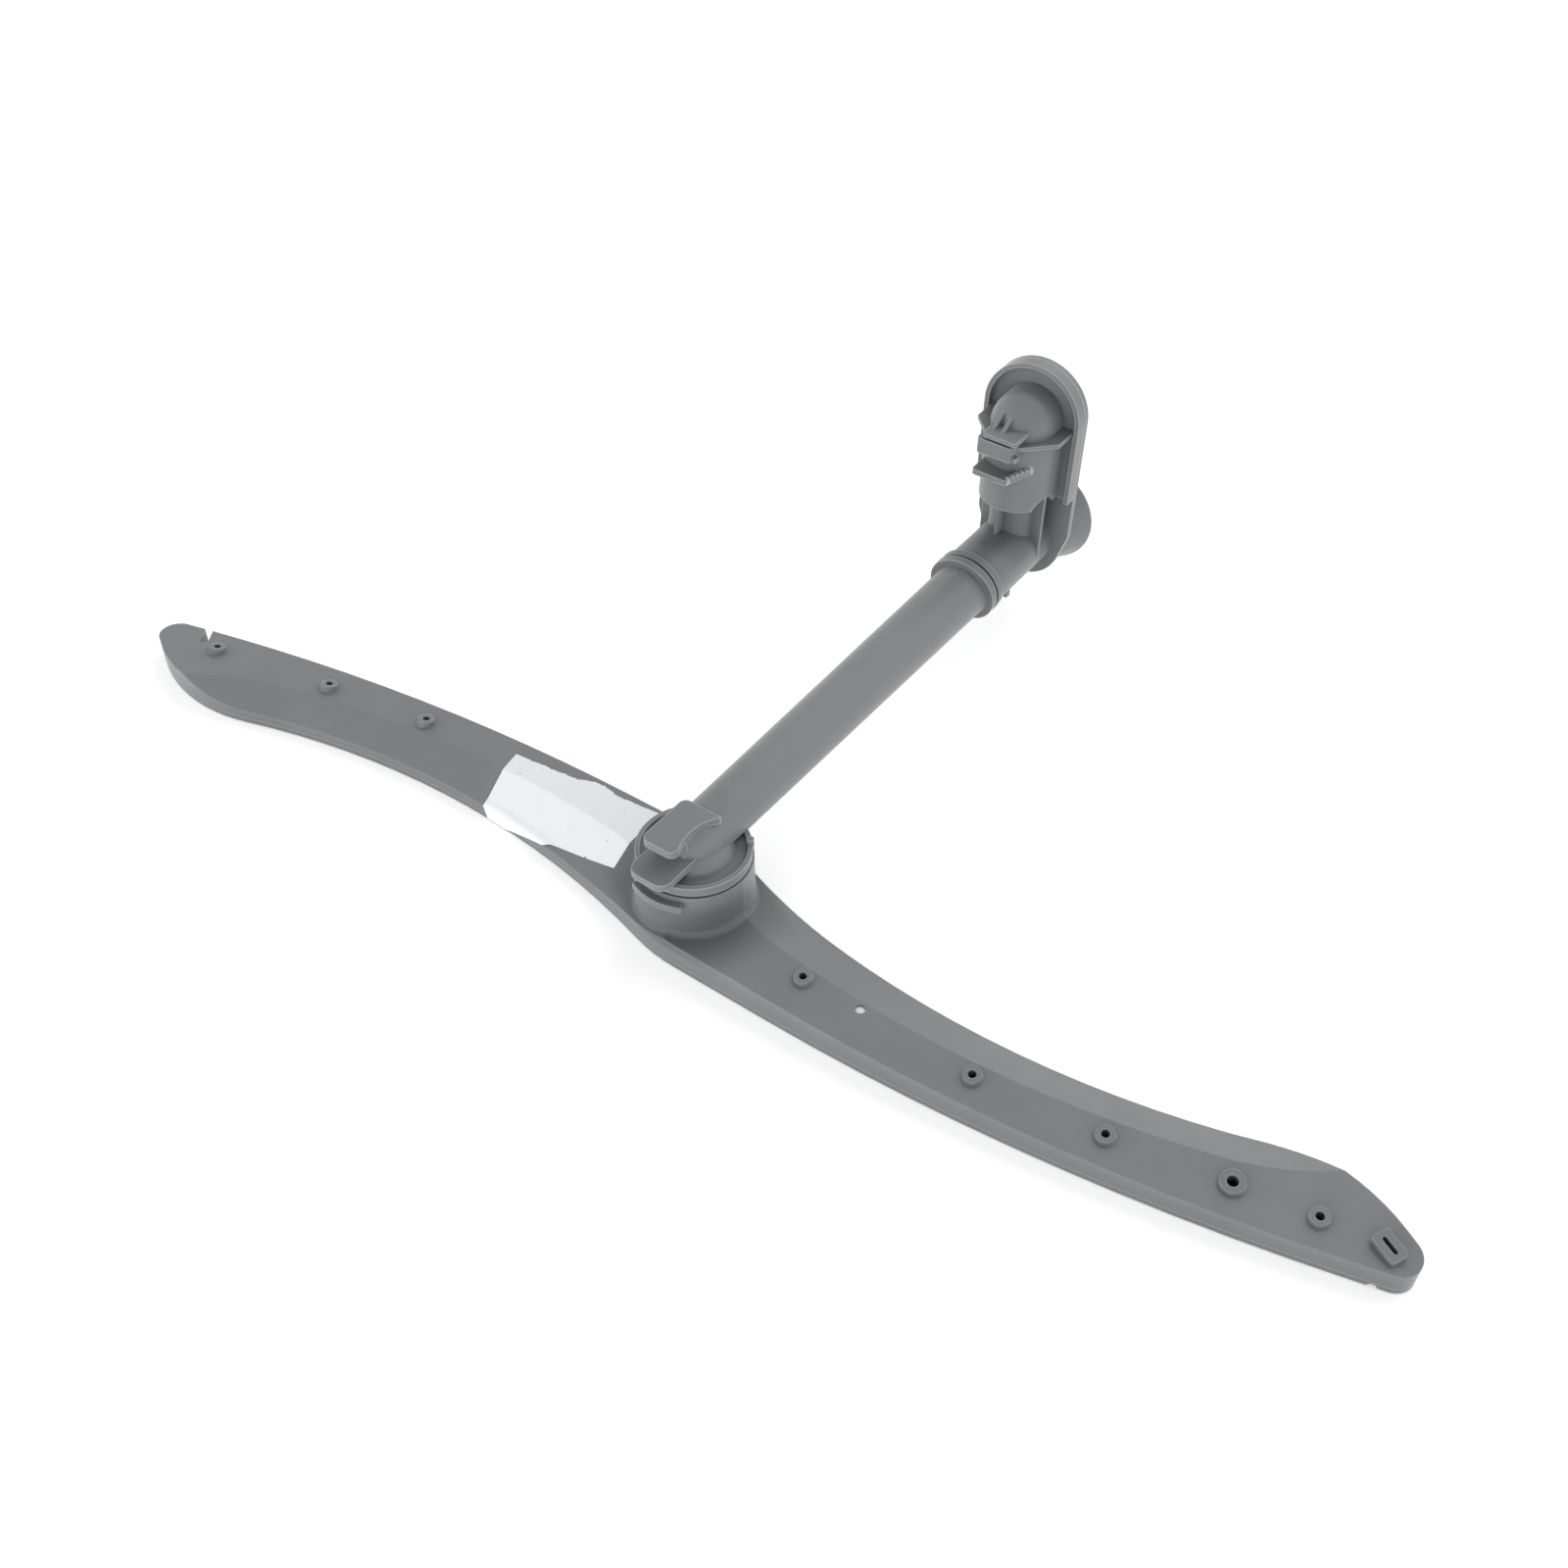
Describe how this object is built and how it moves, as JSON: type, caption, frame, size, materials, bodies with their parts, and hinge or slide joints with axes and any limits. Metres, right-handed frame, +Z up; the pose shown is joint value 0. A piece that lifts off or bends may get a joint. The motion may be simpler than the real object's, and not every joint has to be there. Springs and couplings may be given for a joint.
{
  "type": "dishwasher spray arm",
  "caption": "Upper dishwasher spray arm: a twisted, faceted hollow blade that spins under a feed tube with rack clips and a tall rear docking connector.",
  "frame": {"origin": "point where the arm's spin axis meets the arm's flat underside", "axes": "+Z up along the spin axis, +Y along the feed tube towards the rear docking connector, +X along the arm at rest"},
  "size_m": [0.4807, 0.2481, 0.1074],
  "materials": {
    "grey_plastic": "satin moulded grey",
    "bearing_plastic": "natural, smooth",
    "seal_rubber": "matt black",
    "label_paper": "matt white paper sticker"
  },
  "bodies": {
    "feed": {"feed_tube": "grey_plastic", "tube_seal": "seal_rubber", "connector_body": "grey_plastic", "docking_plate": "grey_plastic", "upper_gasket": "seal_rubber", "lower_gasket": "seal_rubber", "retaining_ring": "bearing_plastic"},
    "spray_arm": {"arm_top_shell": "grey_plastic", "arm_bottom_shell": "grey_plastic", "hub_bush": "bearing_plastic", "arm_label": "label_paper"}
  },
  "joints": [
    {"name": "arm_spin", "type": "hinge", "parent": "feed", "child": "spray_arm", "pos_m": [0, 0, 0.0188], "axis": [0, 0, 1], "continuous": true}
  ]
}
